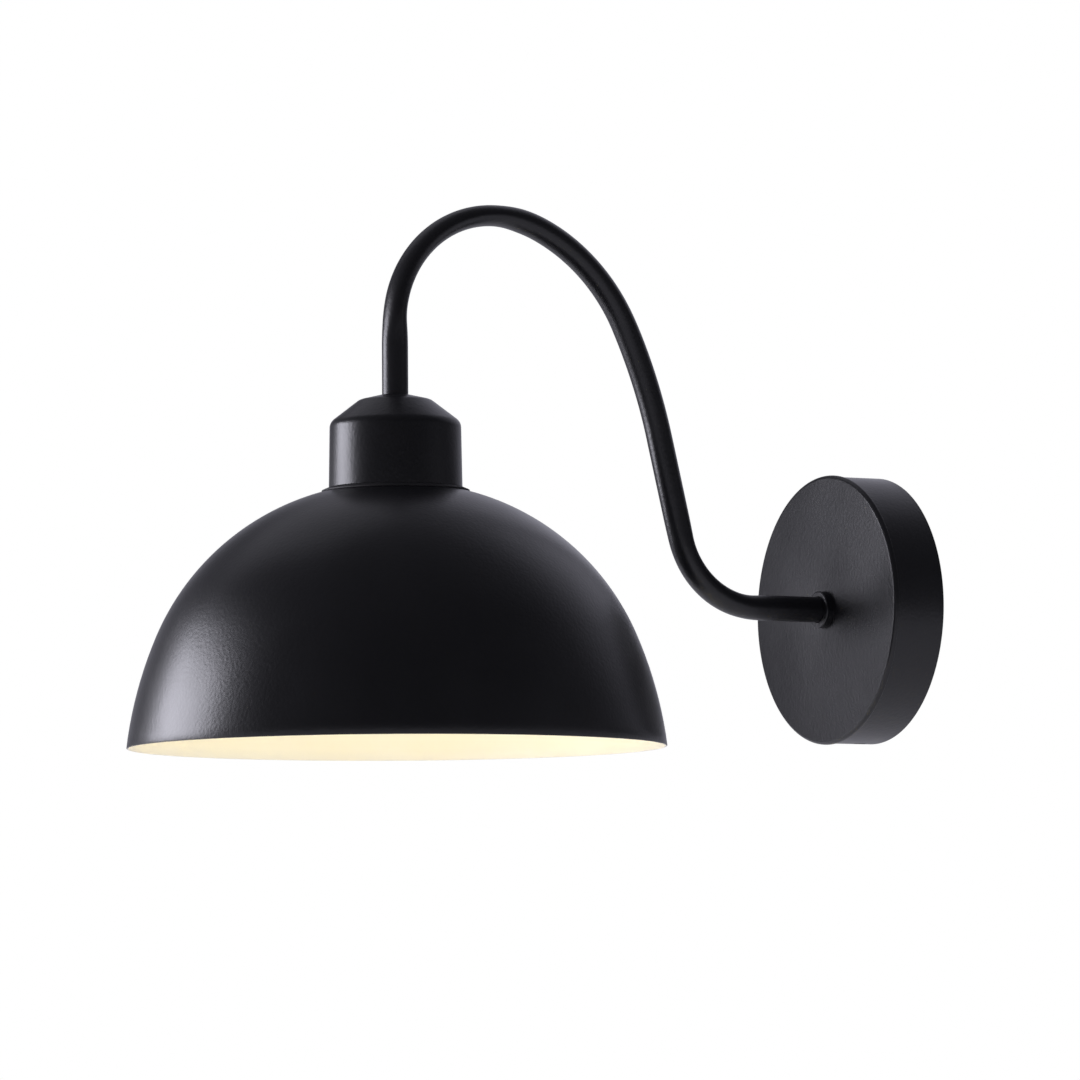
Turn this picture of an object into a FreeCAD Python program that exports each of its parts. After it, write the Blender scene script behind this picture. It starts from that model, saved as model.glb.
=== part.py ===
"""Gooseneck wall light with a dome shade.

Millimetres.  The origin is the centre of the round wall plate on the wall
plane, +X points out of the wall and +Z is up.
"""
import FreeCAD, Part
import math
import os

V = FreeCAD.Vector

# ---------------------------------------------------------------- wall plate
plate_d = 127.0              # lip of the wall plate, a 5 inch cover
plate_depth = 27.0           # wall to front face
plate_wall = 1.5             # pressed steel sheet
plate_lip = 0.65             # how far the front bead stands past the side
plate_lip_w = 2.4            # width of the front bead
plate_edge_r = 1.2           # rounding of the bead
plate_step_r = 0.3           # rounding where the bead steps out of the side

# ------------------------------------------------------------------- bracket
bracket_t = 2.0              # steel strip
bracket_w = 22.0
bracket_gap = 1.45           # tab face to the inside of the wall plate
tab_depth = 15.0             # wall to the end of the bent tabs
slot_pitch = 70.0            # slot centre to slot centre
slot_w = 4.6
slot_len = 14.0
cable_hole_d = 12.0          # hole for the supply cable

# ---------------------------------------------------------------------- arm
tube_d = 12.0
tube_wall = 1.2
reach = 227.5                # front of the wall plate to the shade axis
arm_drop = 92.2              # height of the arm's lower end over the origin
crown_h = 177.4              # height of the arm's centre line at the crown
foot_r = 41.0                # bend beside the wall plate
foot_turn = 76.6             # degrees that the foot bend turns up
arch_radii = (250.0, 89.0, 65.0)         # three arcs up to the crown
arch_turns = (12.5, 39.9, 14.0)          # degrees turned by each
crown_r = 52.3               # tight bend over the crown to straight down

# -------------------------------------------------------------------- collar
collar_d = 17.5
collar_w = 4.0
collar_edge = 0.8

# ------------------------------------------------- threaded nipples and nuts
thread_d = 10.0              # M10 x 1 lamp thread
nipple_bore = 7.0
spigot_len = 10.0            # part of each nipple held inside the arm
nut_af = 14.0                # across flats
nut_t = 3.0
nut_bevel = 0.55             # bevel of the nut's corners, as a share of its thickness
washer_t = 1.0
washer_d = 17.0
washer_teeth = 12
tooth_notch = 0.045          # radius of the gap between teeth, as a share of the diameter
thread_lead = 0.5            # chamfer at the end of a thread
spigot_edge = 0.4
nipple_stand = 3.0           # thread past the nut
bush_d = 12.0                # plastic bush on the wall nipple
bush_t = 2.0
bush_spigot = 4.0            # part of the bush inside the nipple
bush_edge = 0.6

# ----------------------------------------------------------------------- cap
cap_d = 61.0                 # at its lower edge
cap_taper = 0.5              # how much smaller in radius the side is on top
cap_h = 42.7                 # lower edge to the seat of the arm
cap_side_h = 30.0            # lower edge to the corner of the shoulder
cap_top_r = 16.5             # where the shoulder meets the crown of the cap
cap_top_h = 40.4
cap_seat_rim = 0.6           # flat round the arm's end on top of the cap
cap_edge_r = 4.0
cap_wall = 1.0

# --------------------------------------------------------------------- shade
shade_d = 246.0
shade_h = 117.0
shade_wall = 1.0
rim_angle = 7.0              # lean of the wall at the rim, from upright
waist_angle = 23.0           # lean where the two large arcs meet
crown_angle = 75.0           # lean where the dome rounds into its flat seat
seat_round = 12.0
seat_r = 30.6                # flat seat under the washer
shade_hole_d = 41.0
seal_d = 67.6                # thin washer between cap and shade
seal_t = 1.5

# --------------------------------------------------------------- lamp holder
skirt_d = 39.6               # threaded skirt that the ring runs on
skirt_above = 14.0           # skirt over the shade's seat
skirt_below = 18.0           # skirt under the shade's seat
skirt_bore = 30.0
skirt_flange_d = 46.0        # shoulder that the shade hangs from
skirt_flange_t = 3.0
skirt_edge = 0.8
skirt_sink = 1.2             # radial step of the ledge that the ceramic block sits on
dome_d = 44.0                # upper shell of the holder
dome_len = 22.0
holder_wall = 2.0
dome_roof = 7.0              # threaded roof of the upper shell
dome_shoulder_r = 3.0
dome_neck_d = 20.0           # foot of the threaded entry
dome_top_d = 18.0            # top of the threaded entry
dome_room_d = 16.0           # flat of the ceiling inside
dome_roof_step = 1.0         # shoulder under the threaded entry
ring_d = 56.0                # ring that clamps the shade
ring_h = 9.0
ring_rib_n = 24              # finger grips round the ring
ring_rib_w = 2.0
ring_rim_h = 2.5             # plain flange over the ribs
ring_step = 5.0              # how far the flange stands past the ribs
ring_rib_sink = 0.6          # how far the grooves' centres lie outside the ribbed part
ring_edge = 0.8
block_d = 32.0               # ceramic block with the contacts
block_t = 7.0
block_ledge = 2.0            # how deep the block sits in the skirt
block_hole_d = 6.0           # hole for the centre contact
post_share = 0.33            # place of the terminal screws, as a share of the block's diameter
post_d = 3.0                 # terminal screws of the block
post_depth = 5.0
post_len = 5.4
post_head_d = 5.2
post_head_h = 1.6
head_taper = 0.5             # how much narrower in radius a screw head is on top
shell_bore = 26.7            # screw shell, E27
shell_wall = 0.4
shell_len = 20.0
shell_hole_d = 14.0          # hole in the closed end of the shell
contact_w = 6.0              # centre contact strip
contact_t = 0.5
contact_foot = 3.5           # length of the strip's foot under the block
contact_tip = 6.0            # length of the strip over the bulb's tip

# ---------------------------------------------------------------------- bulb
bulb_len = 104.0
bulb_d = 60.0
bulb_glass = 0.8
bulb_knee_r = 24.0           # curve between neck and cone
bulb_cone = 38.0             # degrees up the ball where the cone starts
bulb_cap_d = 26.4
bulb_cap_len = 22.0
bulb_cap_wall = 0.5
bulb_thread_depth = 0.9
bulb_thread_pitch = 3.629
bulb_crest_from = 0.30       # the round crest, as shares of the pitch
bulb_crest_to = 0.65
bulb_crest_r = 0.5
bulb_skirt_len = 3.0         # plain part of the bulb's cap beside the glass
bulb_shoulder = 3.0          # radial width of the cap's rolled end
bulb_glass_ring = 1.6        # height of the black glass that shows
bulb_seat = 4.0              # ceramic block to the bulb's tip when it is home
bulb_tip_d = 9.5
bulb_tip_h = 2.2
bulb_tip_slope = 1.2
bulb_tip_r = 0.9

# --------------------------------------------------------- wiring, fasteners
flex_d = 5.0
lead_d = 1.8
lead_bend = 6.0
lead_apart = 1.3             # each core's distance from the middle of the flex
lead_out = 1.5               # straight run of a core out of the flex
lead_in = 5.0                # how far a core reaches into its pole
block_w = 18.0               # two-way terminal block
block_h = 16.0
block_depth = 11.0
block_z = 8.0                # its lower end over the origin
pole_pitch = 8.0
pole_bore = 3.0
pole_wall = 0.6
pole_share = 0.45            # height of the poles, as a share of the block's depth
pole_inset = 1.0             # tube end to block end
clamp_shares = (0.22, 0.78)  # places of the two screws along a pole
pole_screw_d = 2.6
tower_r = 2.6                # tower over each clamp screw
block_screw_d = 3.2
block_screw_head_d = 5.8
block_screw_head_h = 1.6
block_base = 0.7             # share of the block's depth that is its base
side_screw_d = 4.0           # two screws that hold the wall plate
side_screw_head_d = 7.0
side_screw_len = 9.0
side_screw_x = 9.0
earth_screw_d = 4.0
earth_screw_head_d = 7.6
earth_screw_head_h = 2.4
earth_washer_over = 1.2      # how much wider the toothed washer is than the head
earth_washer_teeth = 10
wall_gap = 0.2               # screw end to wall
slot_w_screw = 1.0           # driver slot of the larger screws
slot_depth_screw = 0.8
slot_w_small = 0.5           # driver slot of the clamp screws
slot_depth_small = 0.6
earth_y = 6.5
earth_z = -16.0
lug_t = 0.8                  # ring lugs of the earth lead
lug_rim = 2.2                # ring of a lug round its hole
lug_barrel = 4.0             # length of a lug's crimped barrel
lug_neck = 3.0               # tongue between ring and barrel
lug_tongue_w = 3.2
crimp_wall = 0.5
crimp_stop = 1.0             # solid end of the barrel
crimp_lift = 0.2             # barrel's bore over the tongue
lead_slack = 12.0            # how far the earth lead loops out sideways

# ------------------------------------------------------------------ fits
fit = 0.05                   # radial play of a thread or spigot in its hole
clear = 0.3                  # play between pieces that only pass each other
over = 1.0                   # how far a cutting shape runs past a face

plate_r = plate_d / 2 - plate_lip
plate_inner_r = plate_r - plate_wall
plate_back = plate_depth - plate_wall
axis_x = plate_depth + reach
tube_r = tube_d / 2
tube_bore_r = tube_r - tube_wall
seal_top = arm_drop - cap_h
shade_top = seal_top - seal_t
shade_rim = shade_top - shade_h
stack_t = washer_t + lug_t + nut_t
nipple_end = plate_back - stack_t - nipple_stand


# ------------------------------------------------------------------- helpers
def rounded_wire(points, place):
    """Closed wire through (a, b, radius) corners; place turns (a, b) to 3-D."""
    ends = []
    count = len(points)
    for i, (a, b, radius) in enumerate(points):
        before = points[i - 1]
        after = points[(i + 1) % count]
        corner = V(a, b, 0)
        to_before = V(before[0], before[1], 0) - corner
        to_after = V(after[0], after[1], 0) - corner
        to_before.normalize()
        to_after.normalize()
        if radius <= 0:
            ends.append((corner, None, corner))
            continue
        half = to_before.getAngle(to_after) / 2
        cut = radius / math.tan(half)
        middle_dir = to_before + to_after
        middle_dir.normalize()
        middle = corner + middle_dir * (radius / math.sin(half) - radius)
        ends.append((corner + to_before * cut, middle, corner + to_after * cut))
    edges = []
    for i, (start, middle, end) in enumerate(ends):
        if middle is not None:
            edges.append(Part.Arc(place(start), place(middle), place(end)).toShape())
        following = ends[(i + 1) % count][0]
        if (following - end).Length > 1e-6:
            edges.append(Part.LineSegment(place(end), place(following)).toShape())
    return Part.Wire(edges)


def on_wall_axis(p):
    """(distance from the wall, radius) about the X axis."""
    return V(p.x, 0, p.y)


def on_shade_axis(p):
    """(radius, height) about the upright shade axis."""
    return V(axis_x + p.x, 0, p.y)


def turn_wall(points):
    face = Part.Face(rounded_wire(points, on_wall_axis))
    return face.revolve(V(0, 0, 0), V(1, 0, 0), 360)


def turn_head(points):
    face = Part.Face(rounded_wire(points, on_shade_axis))
    return face.revolve(V(axis_x, 0, 0), V(0, 0, 1), 360)


def offset_points(points, distance):
    """The same open run of corners, moved to its left by distance."""
    moved = []
    count = len(points)
    for i in range(count):
        here = V(points[i][0], points[i][1], 0)
        back = V(points[max(i - 1, 0)][0], points[max(i - 1, 0)][1], 0)
        ahead = V(points[min(i + 1, count - 1)][0], points[min(i + 1, count - 1)][1], 0)
        first = here - back if i > 0 else ahead - here
        second = ahead - here if i < count - 1 else here - back
        first.normalize()
        second.normalize()
        normal = V(-first.y - second.y, first.x + second.x, 0)
        normal.normalize()
        share = normal.dot(V(-first.y, first.x, 0))
        turn = first.x * second.y - first.y * second.x
        radius = points[i][2]
        if radius > 0:
            radius = max(radius - math.copysign(distance, turn), 0.05)
        spot = here + normal * (distance / share)
        moved.append((spot.x, spot.y, radius))
    return moved


def rod(radius, start, end):
    way = end - start
    return Part.makeCylinder(radius, way.Length, start, way)


def tube_between(outer_r, inner_r, start, end):
    return rod(outer_r, start, end).cut(rod(inner_r, start, end))


def hex_prism(across_flats, thickness):
    corner_r = across_flats / 2 / math.cos(math.pi / 6)
    corners = []
    for i in range(7):
        angle = math.radians(60 * i + 30)
        corners.append(V(corner_r * math.cos(angle), corner_r * math.sin(angle), 0))
    body = Part.Face(Part.makePolygon(corners)).extrude(V(0, 0, thickness))
    chamfer = Part.makeCone(corner_r + thickness * nut_bevel, across_flats / 2, thickness)
    return body.common(chamfer)


def toward(shape, way, spot):
    """Turns a shape drawn along +Z so that it points along way from spot."""
    shape = shape.copy()
    shape.Placement = FreeCAD.Placement(spot, FreeCAD.Rotation(V(0, 0, 1), way))
    return shape


def pipe(edges, radius):
    path = Part.Wire(edges)
    start = path.Vertexes[0].Point
    way = path.Edges[0].tangentAt(path.Edges[0].FirstParameter)
    ring = Part.Wire([Part.makeCircle(radius, start, way)])
    return path.makePipeShell([ring], True, True)


def save(name, shape):
    shape = shape.removeSplitter() if len(shape.Solids) == 1 else shape
    shape.exportStep(os.path.join("parts", name + ".step"))
    flag = "ok" if shape.isValid() else "NOT VALID"
    print("%-24s %s solids %d  volume %.1f" % (name, flag, len(shape.Solids), shape.Volume))


# ----------------------------------------------------------------- arm route
class Route:
    """Centre line of the arm in the XZ plane: straight runs and arcs."""

    def __init__(self, x, z, heading):
        self.place = V(x, 0, z)
        self.heading = math.radians(heading)
        self.pieces = []

    def forward(self):
        return V(math.cos(self.heading), 0, math.sin(self.heading))

    def straight(self, length):
        start = self.place
        self.place = start + self.forward() * length
        self.pieces.append(("line", length, start, self.heading, 0.0))
        return self

    def bend(self, radius, degrees):
        """Positive degrees turn up, negative turn down."""
        start = self.place
        turn = math.radians(degrees)
        side = math.copysign(1.0, turn)
        centre = start + V(-math.sin(self.heading), 0, math.cos(self.heading)) * radius * side
        self.pieces.append(("arc", radius * abs(turn), start, self.heading, side / radius))
        self.heading += turn
        back = V(math.sin(self.heading), 0, -math.cos(self.heading)) * radius * side
        self.place = centre + back
        return self

    def length(self):
        return sum(piece[1] for piece in self.pieces)

    def at(self, distance):
        """Point and heading at a distance along the route."""
        for piece in self.pieces:
            kind, length, start, heading, curve = piece
            if distance <= length or piece is self.pieces[-1]:
                break
            distance -= length
        if kind == "line":
            return start + V(math.cos(heading), 0, math.sin(heading)) * distance, heading
        angle = heading + curve * distance
        run = V(math.sin(angle) - math.sin(heading), 0, math.cos(heading) - math.cos(angle))
        return start + run * (1 / curve), angle

    def edges(self, first, last):
        """Lines and arcs of the route between two distances."""
        found = []
        passed = 0.0
        for kind, length, start, heading, curve in self.pieces:
            low = max(first, passed)
            high = min(last, passed + length)
            if high - low > 1e-6:
                a = self.at(low + 1e-9)[0]
                b = self.at(high - 1e-9)[0]
                if kind == "line":
                    found.append(Part.LineSegment(a, b).toShape())
                else:
                    found.append(Part.Arc(a, self.at((low + high) / 2)[0], b).toShape())
            passed += length
        return found


def arm_route():
    """The arm's centre line from the wall plate's face to its lower end.

    The straight foot and the rising run take what reach and height leave
    over after the bends.
    """
    turned = foot_turn
    dx = foot_r * math.sin(math.radians(foot_turn))
    dz = foot_r * (1 - math.cos(math.radians(foot_turn)))
    for radius, turn in zip(arch_radii, arch_turns):
        after = turned - turn
        dx += radius * (math.sin(math.radians(turned)) - math.sin(math.radians(after)))
        dz += radius * (math.cos(math.radians(after)) - math.cos(math.radians(turned)))
        turned = after
    dx += crown_r * (math.sin(math.radians(turned)) + 1)
    rise_to_crown = crown_r * (1 - math.cos(math.radians(turned)))
    rise = (crown_h - dz - rise_to_crown) / math.sin(math.radians(foot_turn))
    foot = reach - dx - rise * math.cos(math.radians(foot_turn))
    drop = crown_h - crown_r - arm_drop
    route = Route(plate_depth, 0, 0)
    route.straight(foot)
    route.bend(foot_r, foot_turn)
    route.straight(rise)
    for radius, turn in zip(arch_radii, arch_turns):
        route.bend(radius, -turn)
    route.bend(crown_r, -(turned + 90))
    route.straight(drop)
    print("arm: foot %.1f  rise %.1f  drop %.1f  length %.1f" % (foot, rise, drop, route.length()))
    return route


def arm_tube(route):
    """Bent tube, open at both ends for the nipples' spigots."""
    edges = route.edges(0, route.length())
    return pipe(edges, tube_r).cut(pipe(edges, tube_bore_r))


# ------------------------------------------------------------ wall-side parts
def wall_plate():
    """A shallow pressed cup, open to the wall, with a bead round its face."""
    side = plate_r
    lip = plate_d / 2
    outline = [
        (0, side, 0),
        (plate_depth - plate_lip_w, side, 0),
        (plate_depth - plate_lip_w, lip, plate_step_r),
        (plate_depth, lip, plate_edge_r),
        (plate_depth, 0, 0),
        (plate_back, 0, 0),
        (plate_back, plate_inner_r, plate_wall),
        (0, plate_inner_r, 0),
    ]
    body = turn_wall(outline)
    body = body.cut(rod(thread_d / 2 + fit, V(0, 0, 0), V(plate_depth, 0, 0)))
    for way in (V(0, 0, 1), V(0, 0, -1)):
        body = body.cut(side_screw_hole(way))
    return body


def side_screw_hole(way):
    """Countersunk hole through the side of the wall plate."""
    top = V(side_screw_x, 0, 0) + way * plate_r
    sink_r = side_screw_head_d / 2 + fit
    hole_r = side_screw_d / 2 + clear
    depth = sink_r - hole_r
    cone = Part.makeCone(sink_r, hole_r, depth, top, way * -1)
    mouth = Part.makeCylinder(sink_r, over, top, way)
    through = Part.makeCylinder(hole_r, 2 * plate_wall, top, way * -1)
    return cone.fuse([mouth, through])


def wall_bracket():
    """Steel strip against the wall with a bent tab at each end."""
    half = plate_inner_r - bracket_gap
    strip = Part.makeBox(bracket_t, bracket_w, 2 * half, V(0, -bracket_w / 2, -half))
    body = strip
    for side in (1, -1):
        low = half - bracket_t if side > 0 else -half
        tab = Part.makeBox(tab_depth, bracket_w, bracket_t, V(0, -bracket_w / 2, low))
        body = body.fuse(tab)
    body = body.removeSplitter()
    bends = []
    for edge in body.Edges:
        box = edge.BoundBox
        along_y = box.YLength > bracket_w - 0.01
        outer = abs(box.XMin) < 1e-6 and abs(abs(box.ZMin) - half) < 1e-6
        if along_y and outer:
            bends.append(edge)
    body = body.makeFillet(bracket_t, bends)
    for side in (1, -1):
        middle = side * slot_pitch / 2
        run = slot_len / 2 - slot_w / 2
        slot = Part.makeBox(bracket_t, slot_w, 2 * run, V(0, -slot_w / 2, middle - run))
        for end in (middle - run, middle + run):
            slot = slot.fuse(rod(slot_w / 2, V(0, 0, end), V(bracket_t, 0, end)))
        body = body.cut(slot)
        tap_end = V(side_screw_x, 0, side * (half + over))
        body = body.cut(rod(side_screw_d / 2 + fit, V(side_screw_x, 0, 0), tap_end))
    body = body.cut(rod(cable_hole_d / 2, V(0, 0, 0), V(bracket_t, 0, 0)))
    body = body.cut(rod(earth_screw_d / 2 + fit, V(0, earth_y, earth_z), V(bracket_t, earth_y, earth_z)))
    middle = block_z + block_h / 2
    return body.cut(rod(block_screw_d / 2 + fit, V(0, 0, middle), V(bracket_t, 0, middle)))


def side_screws():
    """Two flush countersunk screws through the side, into the tabs."""
    screws = []
    for way in (V(0, 0, 1), V(0, 0, -1)):
        top = V(side_screw_x, 0, 0) + way * (plate_r - clear)
        head_r = side_screw_head_d / 2
        shank_r = side_screw_d / 2
        head = Part.makeCone(head_r - clear, shank_r, head_r - clear - shank_r, top, way * -1)
        shank = Part.makeCylinder(shank_r, side_screw_len, top, way * -1)
        screw = head.fuse(shank)
        low = V(-slot_w_screw / 2, -side_screw_head_d / 2, -slot_depth_screw)
        slot = toward(Part.makeBox(slot_w_screw, side_screw_head_d, slot_depth_screw, low), way, top)
        screws.append(screw.cut(slot))
    return Part.makeCompound(screws)


def arm_collar():
    bore = tube_r + fit
    start = plate_depth
    return turn_wall([
        (start, bore, 0),
        (start, collar_d / 2, 0),
        (start + collar_w, collar_d / 2, collar_edge),
        (start + collar_w, bore, collar_edge / 2),
    ])


def wall_nipple():
    """Lamp nipple: a spigot in the arm's foot, its thread through the plate."""
    end = nipple_end
    return turn_wall([
        (plate_depth + spigot_len, nipple_bore / 2, 0),
        (plate_depth + spigot_len, tube_bore_r - fit, spigot_edge),
        (plate_depth, tube_bore_r - fit, 0),
        (plate_depth, thread_d / 2, 0),
        (end, thread_d / 2, thread_lead),
        (end, nipple_bore / 2, 0),
    ])


def toothed_washer(outer_d, bore_r, teeth):
    """Shakeproof washer drawn on +Z from the origin."""
    body = tube_between(outer_d / 2, bore_r, V(0, 0, 0), V(0, 0, washer_t))
    notch_r = outer_d * tooth_notch
    for i in range(teeth):
        angle = 2 * math.pi * i / teeth
        spot = V(math.cos(angle), math.sin(angle), 0) * (outer_d / 2)
        body = body.cut(rod(notch_r, spot, spot + V(0, 0, washer_t)))
    return body


def lock_nut():
    return hex_prism(nut_af, nut_t).cut(rod(thread_d / 2 + fit, V(0, 0, 0), V(0, 0, nut_t)))


def cable_bush():
    """Plastic bush on the nipple's end, so that no edge meets the flex."""
    end = nipple_end
    bore = flex_d / 2 + clear
    return turn_wall([
        (end - bush_t, bore, bush_edge / 2),
        (end - bush_t, bush_d / 2, bush_edge),
        (end, bush_d / 2, 0),
        (end, nipple_bore / 2 - fit, 0),
        (end + bush_spigot, nipple_bore / 2 - fit, bush_edge / 2),
        (end + bush_spigot, bore, 0),
    ])


def pole_places():
    return [V(bracket_t + block_depth * pole_share, side * pole_pitch / 2, block_z) for side in (1, -1)]


def clamp_heights():
    return [block_z + block_h * share for share in clamp_shares]


def terminal_block():
    """Two-way block: a moulded body with a raised tower over each screw."""
    base = Part.makeBox(block_depth * block_base, block_w, block_h, V(bracket_t, -block_w / 2, block_z))
    for spot in pole_places():
        for z in clamp_heights():
            start = V(bracket_t, spot.y, z)
            base = base.fuse(rod(tower_r, start, start + V(block_depth, 0, 0)))
    for spot in pole_places():
        bore_r = pole_bore / 2 + pole_wall + fit
        base = base.cut(rod(bore_r, spot, spot + V(0, 0, block_h)))
        for z in clamp_heights():
            start = V(spot.x, spot.y, z)
            well = rod(pole_screw_d / 2 + clear, start, start + V(block_depth, 0, 0))
            base = base.cut(well)
    middle = block_z + block_h / 2
    return base.cut(rod(block_screw_d / 2 + fit, V(0, 0, middle), V(plate_depth, 0, middle)))


def terminal_tubes():
    """Brass tube of each pole, tapped for its two screws."""
    tubes = []
    for spot in pole_places():
        low = spot + V(0, 0, pole_inset)
        high = spot + V(0, 0, block_h - pole_inset)
        body = tube_between(pole_bore / 2 + pole_wall, pole_bore / 2, low, high)
        for z in clamp_heights():
            start = V(spot.x, spot.y, z)
            body = body.cut(rod(pole_screw_d / 2 + fit, start, start + V(block_depth, 0, 0)))
        tubes.append(body)
    return Part.makeCompound(tubes)


def terminal_screws():
    screws = []
    for spot in pole_places():
        for z in clamp_heights():
            start = V(spot.x + lead_d / 2 + fit, spot.y, z)
            end = V(bracket_t + block_depth - pole_inset, spot.y, z)
            screw = rod(pole_screw_d / 2, start, end)
            low = end - V(slot_depth_small, pole_screw_d / 2, slot_w_small / 2)
            screws.append(screw.cut(Part.makeBox(slot_depth_small, pole_screw_d, slot_w_small, low)))
    return Part.makeCompound(screws)


def block_screw():
    """Small pan screw that holds the terminal block to the strip."""
    z = block_z + block_h / 2
    head_x = bracket_t + block_depth * block_base
    shank = rod(block_screw_d / 2, V(wall_gap, 0, z), V(head_x, 0, z))
    head_r = block_screw_head_d / 2
    head = Part.makeCone(head_r, head_r - head_taper, block_screw_head_h, V(head_x, 0, z), V(1, 0, 0))
    return shank.fuse(head)


def earth_washer():
    ring = toothed_washer(earth_screw_head_d + earth_washer_over, earth_screw_d / 2 + fit, earth_washer_teeth)
    return toward(ring, V(1, 0, 0), V(bracket_t, earth_y, earth_z))


def ring_lug(bore_r, x, y, z, stands):
    """Ring lug flat against x; its barrel points along +Y, stands (+1 or -1) off it."""
    ring_r = bore_r + lug_rim
    body = rod(ring_r, V(x, y, z), V(x + lug_t, y, z))
    tongue_len = ring_r + lug_neck + lug_barrel
    tongue = Part.makeBox(lug_t, tongue_len, lug_tongue_w, V(x, y, z - lug_tongue_w / 2))
    barrel_r = lead_d / 2 + crimp_wall
    start = barrel_start(bore_r, x, y, z, stands)
    body = body.fuse([tongue, rod(barrel_r, start, start + V(0, lug_barrel, 0))])
    body = body.cut(rod(lead_d / 2 + fit, start + V(0, crimp_stop, 0), start + V(0, lug_barrel, 0)))
    return body.cut(rod(bore_r, V(x, y, z), V(x + lug_t, y, z)))


def barrel_start(bore_r, x, y, z, stands):
    face = x + lug_t if stands > 0 else x
    middle = face + stands * (lead_d / 2 + crimp_lift)
    return V(middle, y + bore_r + lug_rim + lug_neck, z)


def earth_lug_place():
    return (earth_screw_d / 2 + fit, bracket_t + washer_t, earth_y, earth_z, 1)


def plate_lug_place():
    return (thread_d / 2 + fit, plate_back - washer_t - lug_t, 0, 0, -1)


def earth_screw():
    seat = bracket_t + washer_t + lug_t
    place = V(seat, earth_y, earth_z)
    shank = rod(earth_screw_d / 2, V(wall_gap, earth_y, earth_z), place)
    head_r = earth_screw_head_d / 2
    head = Part.makeCone(head_r, head_r - head_taper, earth_screw_head_h, place, V(1, 0, 0))
    low = place + V(earth_screw_head_h - slot_depth_screw, -head_r, -slot_w_screw / 2)
    slot = Part.makeBox(slot_depth_screw, 2 * head_r, slot_w_screw, low)
    return shank.fuse(head).cut(slot)


# ------------------------------------------------------------ head-side parts
def cap_outline():
    top_r = cap_d / 2 - cap_taper
    low = seal_top
    return [
        (cap_d / 2, low, 0),
        (top_r, low + cap_side_h, cap_edge_r),
        (cap_top_r, low + cap_top_h, cap_edge_r),
        (tube_r + cap_seat_rim, low + cap_h, 0),
        (0, low + cap_h, 0),
    ]


def socket_cap():
    """Spun steel cup over the lamp holder, with a sloping shoulder."""
    outer = cap_outline()
    inner = offset_points(outer, cap_wall)
    inner[0] = (inner[0][0], seal_top, 0)
    inner[-1] = (0, outer[-1][1] - cap_wall, 0)
    body = turn_head(outer + inner[::-1])
    top = V(axis_x, 0, arm_drop)
    return body.cut(rod(thread_d / 2 + fit, top - V(0, 0, cap_h), top))


def head_nipple():
    seat = arm_drop
    end = holder_top() - dome_roof + dome_roof_step
    return turn_head([
        (nipple_bore / 2, seat + spigot_len, 0),
        (tube_bore_r - fit, seat + spigot_len, spigot_edge),
        (tube_bore_r - fit, seat, 0),
        (thread_d / 2, seat, 0),
        (thread_d / 2, end, thread_lead),
        (nipple_bore / 2, end, 0),
    ])


def cap_inside_top():
    """Underside of the cap where its nut bears."""
    run = cap_top_r - tube_r - cap_seat_rim
    slope = (cap_h - cap_top_h) / run
    nut_corner = nut_af / 2 / math.cos(math.pi / 6)
    return arm_drop - cap_wall - slope * (nut_corner - tube_r - cap_seat_rim + cap_wall) - fit


def head_nut():
    return toward(lock_nut(), V(0, 0, -1), V(axis_x, 0, cap_inside_top()))


def skirt_top():
    return shade_top + skirt_above


def holder_top():
    return skirt_top() + dome_len


def lampholder_skirt():
    """Lower half of the holder: threaded skirt with a shoulder."""
    low = shade_top - skirt_below
    high = skirt_top()
    seat = shade_top
    bore = skirt_bore / 2
    return turn_head([
        (bore, low, skirt_edge),
        (skirt_d / 2, low, skirt_edge),
        (skirt_d / 2, seat, 0),
        (skirt_flange_d / 2, seat, 0),
        (skirt_flange_d / 2, seat + skirt_flange_t, skirt_edge),
        (skirt_d / 2, seat + skirt_flange_t, 0),
        (skirt_d / 2, high, 0),
        (bore + skirt_sink, high, 0),
        (bore + skirt_sink, block_low(), 0),
        (bore, block_low(), 0),
    ])


def block_low():
    """Underside of the ceramic block, on a ledge in the skirt."""
    return skirt_top() - block_ledge


def lampholder_dome():
    """Upper half of the holder with the threaded entry for the nipple."""
    low = skirt_top()
    high = holder_top()
    outer_r = dome_d / 2
    outer = [
        (outer_r, low, 0),
        (outer_r, high - dome_roof - dome_roof_step, dome_shoulder_r),
        (dome_neck_d / 2, high - dome_roof / 2, dome_shoulder_r / 2),
        (dome_top_d / 2, high, skirt_edge),
        (0, high, 0),
    ]
    inner = [
        (0, high - dome_roof, 0),
        (dome_room_d / 2, high - dome_roof, 0),
        (outer_r - holder_wall, high - dome_roof - dome_shoulder_r, holder_wall),
        (outer_r - holder_wall, low, 0),
    ]
    body = turn_head(outer + inner)
    top = V(axis_x, 0, high)
    return body.cut(rod(thread_d / 2 + fit, top - V(0, 0, dome_roof), top))


def contact_block():
    """Ceramic block that carries the contacts, resting on the ledge."""
    low = block_low()
    place = V(axis_x, 0, low)
    body = rod(block_d / 2, place, place + V(0, 0, block_t))
    body = body.cut(rod(block_hole_d / 2, place, place + V(0, 0, block_t)))
    for side in (1, -1):
        spot = place + V(0, side * block_d * post_share, block_t - post_depth)
        body = body.cut(rod(post_d / 2 + fit, spot, spot + V(0, 0, post_depth + over)))
    return body


def screw_shell():
    """Thin threaded shell that the bulb screws into."""
    top = block_low()
    low = top - shell_len
    outer = shell_bore / 2 + shell_wall
    return turn_head([
        (shell_bore / 2, low, 0),
        (outer, low, 0),
        (outer, top, shell_wall),
        (shell_hole_d / 2, top, 0),
        (shell_hole_d / 2, top - shell_wall, 0),
        (shell_bore / 2, top - shell_wall, 0),
    ])


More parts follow.
